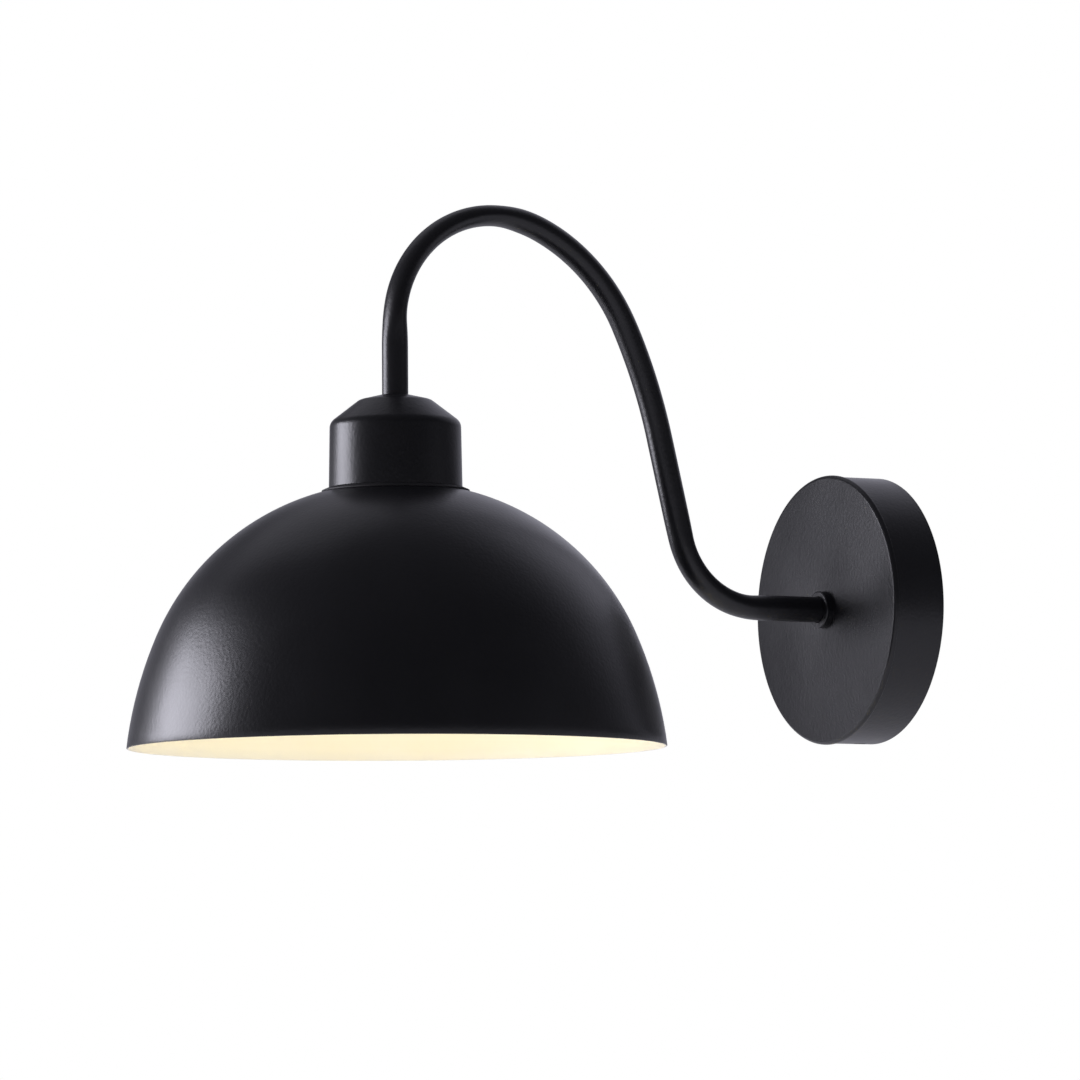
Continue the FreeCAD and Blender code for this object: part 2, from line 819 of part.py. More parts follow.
def centre_contact():
    """Sprung brass strip that the bulb's tip presses on."""
    top = block_low()
    tip_z = bulb_top() + fit
    start = V(axis_x - contact_tip / 2, -contact_w / 2, tip_z)
    foot_at = V(start.x + contact_t - contact_foot, start.y, top - contact_t)
    foot = Part.makeBox(contact_foot, contact_w, contact_t, foot_at)
    tip = Part.makeBox(contact_tip, contact_w, contact_t, start)
    leg = Part.makeBox(contact_t, contact_w, top - tip_z, start)
    return foot.fuse([tip, leg])


def holder_screws():
    """Two terminal screws in the ceramic block."""
    screws = []
    for side in (1, -1):
        spot = V(axis_x, side * block_d * post_share, block_low() + block_t - post_depth + fit)
        shank = rod(post_d / 2, spot, spot + V(0, 0, post_len))
        head_r = post_head_d / 2
        head = Part.makeCone(head_r, head_r - head_taper, post_head_h, spot + V(0, 0, post_len))
        low = spot + V(-head_r, -slot_w_small / 2, post_len + post_head_h - slot_depth_small)
        slot = Part.makeBox(post_head_d, slot_w_small, slot_depth_small, low)
        screws.append(shank.fuse(head).cut(slot))
    return Part.makeCompound(screws)


def seal_washer():
    high = V(axis_x, 0, seal_top)
    low = V(axis_x, 0, shade_top)
    bore = skirt_flange_d / 2 + clear
    return tube_between(seal_d / 2, bore, low, high)


def dome_arcs():
    """Radii of the two large arcs that fill the shade's height and width."""
    s0, c0 = math.sin(math.radians(rim_angle)), math.cos(math.radians(rim_angle))
    s1, c1 = math.sin(math.radians(waist_angle)), math.cos(math.radians(waist_angle))
    s2, c2 = math.sin(math.radians(crown_angle)), math.cos(math.radians(crown_angle))
    height = shade_h - seat_round * (1 - s2)
    width = shade_d / 2 - seat_r - seat_round * c2
    a, b = s1 - s0, s2 - s1
    c, d = c0 - c1, c1 - c2
    spread = a * d - b * c
    return (height * d - b * width) / spread, (a * width - c * height) / spread


def dome_run(inset):
    """Edges of the shade's outline, rim to seat, moved in by inset."""
    lower_r, upper_r = dome_arcs()
    angles = [math.radians(a) for a in (rim_angle, waist_angle, crown_angle, 90.0)]
    start = V(shade_d / 2, shade_rim, 0)
    centre = start - V(math.cos(angles[0]), math.sin(angles[0]), 0) * lower_r
    edges = []
    for i, radius in enumerate((lower_r, upper_r, seat_round)):
        if i:
            shrink = (lower_r, upper_r, seat_round)[i - 1] - radius
            centre = centre + V(math.cos(angles[i]), math.sin(angles[i]), 0) * shrink
        low, high = angles[i], angles[i + 1]
        spots = []
        for angle in (low, (low + high) / 2, high):
            ray = V(math.cos(angle), math.sin(angle), 0)
            spots.append(on_shade_axis(centre + ray * (radius - inset)))
        edges.append(Part.Arc(*spots).toShape())
    return edges


def shade():
    """Spun steel dome with a flat seat and a hole for the holder."""
    outer = dome_run(0)
    inner = dome_run(shade_wall)
    hole_top = V(axis_x + shade_hole_d / 2, 0, shade_top)
    hole_low = V(axis_x + shade_hole_d / 2, 0, shade_top - shade_wall)
    seat = outer[-1].Vertexes[-1].Point
    under = inner[-1].Vertexes[-1].Point
    edges = list(outer)
    edges.append(Part.LineSegment(seat, hole_top).toShape())
    edges.append(Part.LineSegment(hole_top, hole_low).toShape())
    edges.append(Part.LineSegment(hole_low, under).toShape())
    edges.extend(inner)
    edges.append(Part.LineSegment(inner[0].Vertexes[0].Point, outer[0].Vertexes[0].Point).toShape())
    loop = Part.Wire(Part.sortEdges(edges)[0])
    return Part.Face(loop).revolve(V(axis_x, 0, 0), V(0, 0, 1), 360)


def shade_ring():
    """Threaded ring that clamps the shade up against the holder."""
    high = shade_top - shade_wall
    low = high - ring_h
    bore = skirt_d / 2 + fit
    body = turn_head([
        (bore, low, 0),
        (ring_d / 2 - ring_step, low, ring_edge),
        (ring_d / 2 - ring_step, high - ring_rim_h, 0),
        (ring_d / 2, high - ring_rim_h, ring_edge),
        (ring_d / 2, high, 0),
        (bore, high, 0),
    ])
    for i in range(ring_rib_n):
        angle = 2 * math.pi * i / ring_rib_n
        out = ring_d / 2 - ring_step + ring_rib_sink
        spot = V(axis_x, 0, low) + V(math.cos(angle), math.sin(angle), 0) * out
        body = body.cut(rod(ring_rib_w / 2, spot, spot + V(0, 0, ring_h - ring_rim_h - over)))
    return body


# ------------------------------------------------------------------ the bulb
def bulb_top():
    """Height of the bulb's centre contact when it is screwed home."""
    return block_low() - bulb_seat


def bulb_cap_low():
    return bulb_top() - bulb_tip_h - bulb_glass_ring - bulb_cap_len


def bulb_cap_inner_r():
    return bulb_cap_d / 2 - fit - bulb_thread_depth - bulb_cap_wall


def bulb_cap():
    """Rolled screw cap of the bulb: round threads from the pitch."""
    low = bulb_cap_low()
    top = low + bulb_cap_len
    turns = int((bulb_cap_len - bulb_skirt_len - bulb_shoulder) / bulb_thread_pitch)
    crest = bulb_cap_d / 2 - fit
    root = crest - bulb_thread_depth
    inner = bulb_cap_inner_r()
    end_r = inner - bulb_shoulder
    z = low + bulb_skirt_len
    outline = [(root, low, 0), (root, z, 0)]
    for i in range(turns):
        outline.append((crest, z + bulb_thread_pitch * bulb_crest_from, bulb_crest_r))
        outline.append((crest, z + bulb_thread_pitch * bulb_crest_to, bulb_crest_r))
        outline.append((root, z + bulb_thread_pitch, 0))
        z += bulb_thread_pitch
    outline += [(end_r + bulb_cap_wall, top, bulb_cap_wall), (end_r, top, 0)]
    outline += [(end_r, top - bulb_cap_wall, 0), (inner, z - bulb_cap_wall, 0), (inner, low, 0)]
    return turn_head(outline)


def bulb_insulator():
    """Black glass between the screw cap and the tip."""
    top = bulb_top() - bulb_tip_h
    hole = bulb_cap_inner_r() - bulb_shoulder - fit
    seat = top - bulb_glass_ring
    return turn_head([
        (0, top, 0),
        (bulb_tip_d / 2 + bulb_cap_wall, top, bulb_cap_wall),
        (hole, seat, 0),
        (hole, seat - bulb_shoulder / 2, 0),
        (0, seat - bulb_shoulder / 2, 0),
    ])


def bulb_tip():
    top = bulb_top()
    return turn_head([
        (0, top - bulb_tip_h, 0),
        (bulb_tip_d / 2, top - bulb_tip_h, bulb_tip_r / 3),
        (bulb_tip_d / 2 - bulb_tip_slope, top, bulb_tip_r),
        (0, top, 0),
    ])


def globe_face(inset):
    """Half section of the bulb: ball, cone, knee and neck, moved in by inset."""
    bottom = bulb_top() - bulb_len
    radius = bulb_d / 2 - inset
    middle = V(0, bottom + bulb_d / 2, 0)
    neck_r = bulb_cap_inner_r() - fit - inset
    neck_end = bulb_cap_low() + bulb_cap_len / 2 - inset
    tilt = math.radians(bulb_cone)
    joint = middle + V(math.cos(tilt), math.sin(tilt), 0) * radius
    up_cone = V(-math.sin(tilt), math.cos(tilt), 0)
    knee = joint + up_cone * ((joint.x - neck_r) / math.sin(tilt))
    knee_r = bulb_knee_r + inset
    half = (math.pi - tilt) / 2
    cut = knee_r / math.tan(half)
    into_neck = V(0, 1, 0)
    way = (into_neck - up_cone).normalize()
    low = knee - up_cone * cut
    mid = knee + way * (knee_r / math.sin(half) - knee_r)
    high = knee + into_neck * cut
    end = V(neck_r, neck_end, 0)
    pole = middle - V(0, radius, 0)
    side = middle + V(radius, 0, 0)
    core_end = V(0, neck_end, 0)
    place = on_shade_axis
    edges = [
        Part.Arc(place(pole), place(side), place(joint)).toShape(),
        Part.LineSegment(place(joint), place(low)).toShape(),
        Part.Arc(place(low), place(mid), place(high)).toShape(),
        Part.LineSegment(place(high), place(end)).toShape(),
        Part.LineSegment(place(end), place(core_end)).toShape(),
        Part.LineSegment(place(core_end), place(pole)).toShape(),
    ]
    return Part.Face(Part.Wire(edges))


def bulb_globe():
    """Opal glass envelope, hollow."""
    axis = V(axis_x, 0, 0)
    outer = globe_face(0).revolve(axis, V(0, 0, 1), 360)
    inner = globe_face(bulb_glass).revolve(axis, V(0, 0, 1), 360)
    return outer.cut(inner)


# -------------------------------------------------------------------- wiring
def flex(route):
    """Sheathed flex, whole, from the wall plate through the arm to the head."""
    start_x = flex_start()
    end_z = flex_end()
    edges = [Part.LineSegment(V(start_x, 0, 0), V(plate_depth, 0, 0)).toShape()]
    edges += route.edges(0, route.length())
    edges.append(Part.LineSegment(V(axis_x, 0, arm_drop), V(axis_x, 0, end_z)).toShape())
    path = Part.Wire(edges)
    body = pipe(edges, flex_d / 2)
    check = path.Length * math.pi * flex_d ** 2 / 4
    print("flex length %.1f, volume against section times length %.4f" % (path.Length, body.Volume / check))
    return body


def flex_start():
    """Where the flex's sheath ends inside the wall plate."""
    return nipple_end - bush_t - dome_roof_step


def flex_end():
    """Where the sheath ends in the upper shell of the holder."""
    return holder_top() - dome_roof - dome_roof_step


def wall_lead(side):
    """Core from the flex to its pole: out of the flex, a bend, then up."""
    pole = pole_places()[0 if side > 0 else 1]
    return core([
        V(flex_start(), side * lead_apart, 0),
        V(flex_start() - lead_out, side * lead_apart, 0),
        V(pole.x, pole.y, 0),
        V(pole.x, pole.y, block_z + lead_in),
    ], lead_bend)


def core(points, radius):
    """A thin core along points, each corner an arc of the given radius."""
    edges = []
    here = points[0]
    for i in range(1, len(points) - 1):
        corner = points[i]
        back = (points[i - 1] - corner).normalize()
        ahead = (points[i + 1] - corner).normalize()
        half = back.getAngle(ahead) / 2
        room = min((points[i - 1] - corner).Length, (points[i + 1] - corner).Length) * 0.48
        bend = min(radius, room * math.tan(half))
        cut = bend / math.tan(half)
        a = corner + back * cut
        c = corner + ahead * cut
        way = (back + ahead).normalize()
        m = corner + way * (bend / math.sin(half) - bend)
        if (a - here).Length > 1e-4:
            edges.append(Part.LineSegment(here, a).toShape())
        edges.append(Part.Arc(a, m, c).toShape())
        here = c
    edges.append(Part.LineSegment(here, points[-1]).toShape())
    return pipe(edges, lead_d / 2)


def earth_lead():
    """Short lead from the lug under the arm's nut to the one on the strip."""
    first = barrel_start(*plate_lug_place()) + V(0, crimp_stop, 0)
    last = barrel_start(*earth_lug_place()) + V(0, crimp_stop, 0)
    side = max(first.y, last.y) + lug_barrel + lead_slack
    return core([
        first,
        V(first.x, side, first.z),
        V(last.x, side, last.z),
        last,
    ], lead_bend)


def head_lead(side):
    """Core from the flex's end to a screw on the ceramic block."""
    top = V(axis_x, side * lead_apart, flex_end())
    out_y = side * block_d * post_share
    screw_top = block_low() + block_t - post_depth + post_len + post_head_h
    low = V(axis_x, out_y, screw_top + 2 * fit)
    return core([
        top,
        top - V(0, 0, lead_out),
        V(axis_x, out_y, low.z + lead_out),
        low,
    ], lead_bend)


def main():
    os.makedirs("parts", exist_ok=True)
    route = arm_route()
    save("wall_bracket", wall_bracket())
    save("wall_plate", wall_plate())
    save("side_screws", side_screws())
    save("arm_collar", arm_collar())
    save("arm_tube", arm_tube(route))
    save("wall_nipple", wall_nipple())
    washer = toothed_washer(washer_d, thread_d / 2 + fit, washer_teeth)
    save("wall_washer", toward(washer, V(1, 0, 0), V(plate_back - washer_t, 0, 0)))
    save("wall_nut", toward(lock_nut(), V(1, 0, 0), V(plate_back - stack_t, 0, 0)))
    save("cable_bush", cable_bush())
    save("terminal_block", terminal_block())
    save("terminal_tubes", terminal_tubes())
    save("terminal_screws", terminal_screws())
    save("block_screw", block_screw())
    save("earth_washer", earth_washer())
    save("earth_lug", ring_lug(*earth_lug_place()))
    save("plate_lug", ring_lug(*plate_lug_place()))
    save("earth_screw", earth_screw())
    save("socket_cap", socket_cap())
    save("head_nipple", head_nipple())
    save("head_nut", head_nut())
    save("lampholder_dome", lampholder_dome())
    save("lampholder_skirt", lampholder_skirt())
    save("contact_block", contact_block())
    save("screw_shell", screw_shell())
    save("centre_contact", centre_contact())
    save("holder_screws", holder_screws())
    save("seal_washer", seal_washer())
    save("shade", shade())
    save("shade_ring", shade_ring())
    save("bulb_globe", bulb_globe())
    save("bulb_cap", bulb_cap())
    save("bulb_insulator", bulb_insulator())
    save("bulb_tip", bulb_tip())
    save("flex", flex(route))
    save("live_core_wall", wall_lead(1))
    save("neutral_core_wall", wall_lead(-1))
    save("earth_lead", earth_lead())
    save("live_core_head", head_lead(1))
    save("neutral_core_head", head_lead(-1))


main()
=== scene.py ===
"""Gooseneck wall light with a dome shade: the pieces as they look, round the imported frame."""
import math

import bmesh
import bpy
import numpy as np
from mathutils import Matrix, Vector


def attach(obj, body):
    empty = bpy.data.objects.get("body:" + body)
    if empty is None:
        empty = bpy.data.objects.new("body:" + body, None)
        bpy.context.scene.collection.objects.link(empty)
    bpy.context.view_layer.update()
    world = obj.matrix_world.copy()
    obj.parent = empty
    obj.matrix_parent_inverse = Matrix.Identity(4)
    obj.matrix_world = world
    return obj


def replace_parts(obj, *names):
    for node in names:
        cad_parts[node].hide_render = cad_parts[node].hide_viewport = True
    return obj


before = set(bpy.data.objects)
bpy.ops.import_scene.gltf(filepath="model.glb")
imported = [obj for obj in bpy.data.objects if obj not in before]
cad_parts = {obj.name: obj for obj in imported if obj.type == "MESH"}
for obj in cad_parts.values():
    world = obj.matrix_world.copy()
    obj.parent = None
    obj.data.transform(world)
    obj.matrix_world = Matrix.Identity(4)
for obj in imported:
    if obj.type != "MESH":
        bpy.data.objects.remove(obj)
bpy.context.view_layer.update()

MM = 0.001

# ------------------------------------------------- sizes in millimetres, as in the CAD
AXIS_X = 254.5               # upright axis of the shade
PLATE_D, PLATE_DEPTH, PLATE_WALL = 127.0, 27.0, 1.5
PLATE_LIP, PLATE_LIP_W, PLATE_LIP_CREASE, PLATE_EDGE_R = 0.65, 2.4, 0.25, 1.9
COLLAR_D, COLLAR_W, COLLAR_EDGE = 17.5, 4.0, 0.8
TUBE_D, TUBE_WALL = 12.0, 1.2
REACH, ARM_DROP, CROWN_H = 227.5, 92.2, 177.4
FOOT_R, FOOT_TURN = 41.0, 76.6
ARCH_RADII, ARCH_TURNS, CROWN_R = (250.0, 89.0, 65.0), (12.5, 39.9, 14.0), 52.3
CAP_D, CAP_TAPER, CAP_H, CAP_SIDE_H = 61.0, 0.5, 42.7, 30.0
CAP_TOP_R, CAP_TOP_H, CAP_SEAT_RIM, CAP_WALL = 16.5, 40.4, 0.6, 1.0
CAP_SHOULDER_R, CAP_BROW_R, CAP_INSIDE_R = 5.0, 6.0, 3.0    # the cap's pressed bends
SEAL_D, SEAL_T, SEAL_BORE_R = 67.6, 1.5, 23.3
SEAL_DROOP, SEAL_EDGE_T = 0.3, 0.7    # its free edge sags on to the dome and is pressed thin
SHADE_D, SHADE_H, SHADE_WALL, SHADE_HOLE_D = 246.0, 117.0, 1.0, 41.0
RIM_ANGLE, WAIST_ANGLE, CROWN_ANGLE, SEAT_ROUND, SEAT_R = 7.0, 23.0, 75.0, 12.0, 30.6
THREAD_D, FIT = 10.0, 0.05
SIDE_SCREW_X, SIDE_SCREW_HEAD_D, SIDE_SCREW_D, CLEAR = 9.0, 7.0, 4.0, 0.3
# how thin each bend leaves the tube, as a share of its round width: foot, three arches, crown
FOOT_THIN, ARCH_THIN, CROWN_THIN = 0.92, (0.985, 0.955, 0.93), 0.81
COAT_EDGE, FINE_EDGE = 0.35, 0.2      # a cut edge under its coat, and a bored or hidden one
SHARP = 35.0                          # degrees: a fold steeper than this stays a crisp edge

SEAL_TOP = ARM_DROP - CAP_H
SHADE_TOP = SEAL_TOP - SEAL_T
SHADE_RIM = SHADE_TOP - SHADE_H


# ------------------------------------------------------------------------ materials
def colour(code):
    """sRGB hex to linear RGBA."""
    parts = [int(code[i:i + 2], 16) / 255 for i in (1, 3, 5)]
    return [c / 12.92 if c <= 0.04045 else ((c + 0.055) / 1.055) ** 2.4 for c in parts] + [1.0]


def add(tree, kind, values=None, links=None, **settings):
    """One node: its settings, its sockets' values and the sockets that feed it."""
    node = tree.nodes.new("ShaderNode" + kind)
    for name, value in settings.items():
        setattr(node, name, value)
    for socket, value in (values or {}).items():
        node.inputs[socket].default_value = value
    for socket, source in (links or {}).items():
        tree.links.new(source, node.inputs[socket])
    return node


def start(name, **values):
    """A new material with its shader and the piece's own coordinates."""
    made = bpy.data.materials.new(name)
    made.use_nodes = True
    tree = made.node_tree
    tree.nodes.clear()
    shader = add(tree, "BsdfPrincipled", values)
    add(tree, "OutputMaterial", links={"Surface": shader.outputs[0]})
    return made, tree, shader, add(tree, "TexCoord").outputs["Object"]


def per(size_mm):
    """Scale of a pattern whose marks are size_mm wide."""
    return 1 / (size_mm * MM)


def shades(ramp, first, second, low=0.3, high=0.7):
    """A colour ramp's two colours and their places."""
    for stop, code, place in zip(ramp.color_ramp.elements, (first, second), (low, high)):
        stop.color, stop.position = colour(code), place
    return ramp.outputs["Color"]


def powder_coat():
    """Steel with a baked black powder coat: satin, with the fine pebble of flowed powder."""
    made, tree, shader, where = start("black_powder_coat", IOR=1.5)
    cloud = add(tree, "TexNoise", {"Scale": per(45), "Detail": 2.0}, {"Vector": where})
    sag = add(tree, "TexNoise", {"Scale": per(9), "Detail": 2.0}, {"Vector": where})
    # real peel is near 0.8 mm wide: drawn twice as coarse so that it shows
    peel = add(tree, "TexNoise", {"Scale": per(1.6), "Detail": 2.0, "Roughness": 0.45},
               {"Vector": where})
    tone = add(tree, "ValToRGB", links={"Fac": cloud.outputs["Fac"]})
    satin = add(tree, "MapRange",
                {"From Min": 0.3, "From Max": 0.7, "To Min": 0.31, "To Max": 0.37},
                {"Value": cloud.outputs["Fac"]})
    flow = add(tree, "Bump", {"Distance": 0.05 * MM}, {"Height": sag.outputs["Fac"]})
    grain = add(tree, "Bump", {"Distance": 0.08 * MM},
                {"Height": peel.outputs["Fac"], "Normal": flow.outputs[0]})
    tree.links.new(shades(tone, "#08080A", "#0C0C0E"), shader.inputs["Base Color"])
    tree.links.new(satin.outputs[0], shader.inputs["Roughness"])
    tree.links.new(grain.outputs[0], shader.inputs["Normal"])
    return made


def opal_glass():
    """Opal glass of a lit bulb: it glows evenly and hides what is inside."""
    made, tree, shader, where = start("opal_glass", **{
        "IOR": 1.5, "Roughness": 0.18,
        "Emission Color": colour("#FFF4C8"), "Emission Strength": 3.4})
    cloud = add(tree, "TexNoise", {"Scale": per(30), "Detail": 2.0}, {"Vector": where})
    tone = add(tree, "ValToRGB", links={"Fac": cloud.outputs["Fac"]})
    tree.links.new(shades(tone, "#FBF6EA", "#FFFBF2"), shader.inputs["Base Color"])
    return made


def surface(name, first, second, low, high, mark_mm, grain_mm, relief_mm, lie=(1, 1, 1), **values):
    """A finish whose colour and gloss drift in marks of mark_mm over a grain of grain_mm.

    lie stretches the grain, so that drawing, brushing or a turning tool leaves its direction.
    """
    made, tree, shader, where = start(name, **values)
    drift = add(tree, "TexNoise", {"Scale": per(mark_mm), "Detail": 4.0}, {"Vector": where})
    along = add(tree, "Mapping", {"Scale": lie}, {"Vector": where})
    grain = add(tree, "TexNoise", {"Scale": per(grain_mm), "Detail": 3.0},
                {"Vector": along.outputs[0]})
    tone = add(tree, "ValToRGB", links={"Fac": drift.outputs["Fac"]})
    gloss = add(tree, "MapRange",
                {"From Min": 0.3, "From Max": 0.7, "To Min": low, "To Max": high},
                {"Value": grain.outputs["Fac"]})
    relief = add(tree, "Bump", {"Distance": relief_mm * MM}, {"Height": grain.outputs["Fac"]})
    tree.links.new(shades(tone, first, second), shader.inputs["Base Color"])
    tree.links.new(gloss.outputs[0], shader.inputs["Roughness"])
    tree.links.new(relief.outputs[0], shader.inputs["Normal"])
    return made


def striped_pvc():
    """Earth lead: drawn PVC, green with a yellow stripe that winds round it."""
    made, tree, shader, where = start("green_yellow_pvc", IOR=1.53, Roughness=0.38)
    stripe = add(tree, "TexWave", {"Scale": per(60)}, {"Vector": where}, bands_direction="DIAGONAL")
    tone = add(tree, "ValToRGB", links={"Fac": stripe.outputs["Fac"]})
    tone.color_ramp.interpolation = "CONSTANT"
    grain = add(tree, "TexNoise", {"Scale": per(0.5), "Detail": 2.0}, {"Vector": where})
    relief = add(tree, "Bump", {"Distance": 0.01 * MM}, {"Height": grain.outputs["Fac"]})
    tree.links.new(shades(tone, "#2E8A3C", "#E6D43A", 0.0, 0.68), shader.inputs["Base Color"])
    tree.links.new(relief.outputs[0], shader.inputs["Normal"])
    return made


steel, plastic, vinyl = {"Metallic": 1.0}, {"IOR": 1.5}, {"IOR": 1.53}
finishes = {
    "black_powder_coat": powder_coat(),
    # baked cream enamel inside the shade: even, half gloss, faintly warmer where it lies thick
    "cream_enamel": surface(
        "cream_enamel", "#FFF8E0", "#FFFBE8", 0.30, 0.38, 60, 1.4, 0.02, **plastic),
    "opal_glass": opal_glass(),
    # bright zinc on pressed steel: a cool grey with cloudy patches
    "zinc_plated_steel": surface(
        "zinc_plated_steel", "#AEB2B8", "#C9CBCB", 0.24, 0.40, 9, 0.5, 0.01, (1, 4, 1), **steel),
    # tin over rolled copper: dull and a little yellow
    "tinned_copper": surface(
        "tinned_copper", "#BDBAB2", "#D0CDC6", 0.28, 0.42, 12, 0.6, 0.01, **steel),
    # turned brass: fine rings of the tool
    "brass": surface("brass", "#C9A24E", "#D9B868", 0.20, 0.34, 12, 0.4, 0.01, (1, 1, 6), **steel),
    # rolled nickel: bright, with faint drawing marks
    "nickel_cap": surface(
        "nickel_cap", "#B7B3AA", "#CFCBC2", 0.16, 0.28, 12, 0.7, 0.01, (1, 1, 5), **steel),
    # solder: a soft grey blob with a frosted skin
    "solder": surface("solder", "#9EA1A4", "#B9BBBD", 0.30, 0.50, 3, 0.8, 0.04, **steel),
    # moulded nylon: milky, with a matt skin
    "white_nylon": surface(
        "white_nylon", "#DEDDD6", "#E8E7E1", 0.40, 0.50, 20, 0.5, 0.015, **plastic),
    # moulded phenolic: hard, dark brown-black, polished by its mould
    "black_phenolic": surface(
        "black_phenolic", "#191615", "#211D1B", 0.26, 0.34, 20, 0.6, 0.01, **plastic),
    # punched rubber: dull, with a dusty grain
    "black_seal": surface(
        "black_seal", "#111112", "#18181A", 0.62, 0.74, 20, 0.35, 0.03, **plastic),
    # fired steatite with a thin glaze
    "white_ceramic": surface(
        "white_ceramic", "#E4E0D6", "#EFECE4", 0.22, 0.36, 14, 0.9, 0.02, IOR=1.52),
    # cast black glass: near mirror smooth
    "black_glass": surface("black_glass", "#0C0D12", "#14161D", 0.08, 0.14, 8, 2.0, 0.01, IOR=1.52),
    # drawn PVC skins: smooth, half matt
    "black_pvc": surface("black_pvc", "#1B1B1C", "#232324", 0.40, 0.50, 12, 0.5, 0.01, **vinyl),
    "brown_pvc": surface("brown_pvc", "#5A3522", "#684030", 0.36, 0.44, 12, 0.5, 0.01, **vinyl),
    "blue_pvc": surface("blue_pvc", "#2A61AE", "#3570BD", 0.36, 0.44, 12, 0.5, 0.01, **vinyl),
    "green_yellow_pvc": striped_pvc(),
    # matt paper sweep under the light
    "floor_paper": surface(
        "floor_paper", "#E6E6E4", "#EAEAE8", 0.75, 0.85, 300, 2.0, 0.02, **plastic),
}


# -------------------------------------------------------------------------- shaping
def piece(name, points, faces, *named):
    """A mesh piece on the fixture, in the finishes named; points are in millimetres."""
    mesh = bpy.data.meshes.new(name)
    mesh.from_pydata([tuple(c * MM for c in p) for p in points], [], faces)
    mesh.validate()
    for one in mesh.polygons:
        one.use_smooth = True
    mesh.set_sharp_from_angle(angle=math.radians(SHARP))
    made = bpy.data.objects.new(name, mesh)
    bpy.context.scene.collection.objects.link(made)
    for one in named:
        mesh.materials.append(finishes[one])
    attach(made, "fixture")
    return made


def rounded(corners, step=6.0):
    """Outline through (a, b, radius) corners, each radius drawn every step degrees; closed."""
    outline = []
    count = len(corners)
    for i, (a, b, radius) in enumerate(corners):
        corner = Vector((a, b))
        back = (Vector(corners[i - 1][:2]) - corner).normalized()
        ahead = (Vector(corners[(i + 1) % count][:2]) - corner).normalized()
        if radius <= 0:
            outline.append((a, b))
            continue
        half = back.angle(ahead) / 2
        cut = radius / math.tan(half)
        middle = corner + (back + ahead).normalized() * (radius / math.sin(half))
        first, last = corner + back * cut - middle, corner + ahead * cut - middle
        turn = first.angle_signed(last)
        steps = max(2, int(abs(math.degrees(turn)) / step))
        for k in range(steps + 1):
            angle = -turn * k / steps
            spot = Matrix.Rotation(angle, 2) @ first + middle
            outline.append((spot.x, spot.y))
    return outline


def turned(outline, round_shade, segments=192, thread=None):
    """Points and faces of a closed outline turned about the shade's axis or the wall's.

    An outline's pairs are (radius, height) about the shade's axis and
    (distance from the wall, radius) about the wall's.  thread is (pitch, depth,
    crest radius, low, high): a screw thread cut into that length.
    """
    if thread:
        outline = rows(outline, round_shade, thread)
    points, faces, bands = [], [], []
    count = len(outline)
    for k in range(segments):
        angle = 2 * math.pi * k / segments
        c, s = math.cos(angle), math.sin(angle)
        for a, b in outline:
            along, radius = (b, a) if round_shade else (a, b)
            if thread:
                radius = cut_thread(along, radius, angle, *thread)
            points.append((AXIS_X + radius * c, radius * s, along) if round_shade
                          else (along, radius * c, radius * s))
    for k in range(segments):
        after = (k + 1) % segments
        for i in range(count):
            j = (i + 1) % count
            faces.append((k * count + i, k * count + j, after * count + j, after * count + i))
            bands.append(i)
    return points, faces, bands


def rows(outline, round_shade, thread):
    """The outline with eight points to each pitch along its threaded length."""
    pitch, _, crest, low, high = thread
    fine = []
    for i, spot in enumerate(outline):
        after = outline[(i + 1) % len(outline)]
        fine.append(spot)
        (a, r), (b, q) = [p[::-1] if round_shade else p for p in (spot, after)]
        if abs(r - crest) < 0.01 and abs(q - crest) < 0.01:
            steps = int(abs(b - a) / pitch * 8)
            fine += [tuple(Vector(spot).lerp(Vector(after), k / steps)) for k in range(1, steps)]
    return fine


def cut_thread(along, radius, angle, pitch, depth, crest, low, high):
    """Radius at a place on a thread, which fades in and out over its first and last pitch."""
    if abs(radius - crest) > 0.01 or not low < along < high:
        return radius
    fade = min(1.0, (along - low) / pitch, (high - along) / pitch)
    wave = 0.5 - 0.5 * math.cos(2 * math.pi * along / pitch - angle)
    return radius - depth * fade * wave


def outward(made):
    """Every face of the piece looks outward."""
    work = bmesh.new()
    work.from_mesh(made.data)
    bmesh.ops.remove_doubles(work, verts=work.verts, dist=1e-7)
    bmesh.ops.recalc_face_normals(work, faces=work.faces)
    work.to_mesh(made.data)
    work.free()
    made.data.set_sharp_from_angle(angle=math.radians(SHARP))
    return made


def carve(made, cutter):
    """Takes the cutter's shape out of the piece."""
    tool = made.modifiers.new("carve", "BOOLEAN")
    tool.object = cutter
    tool.operation = "DIFFERENCE"
    tool.solver = "EXACT"
    graph = bpy.context.evaluated_depsgraph_get()
    mesh = bpy.data.meshes.new_from_object(made.evaluated_get(graph))
    made.modifiers.clear()
    made.data = mesh
    bpy.data.objects.remove(cutter)
    made.data.set_sharp_from_angle(angle=math.radians(SHARP))


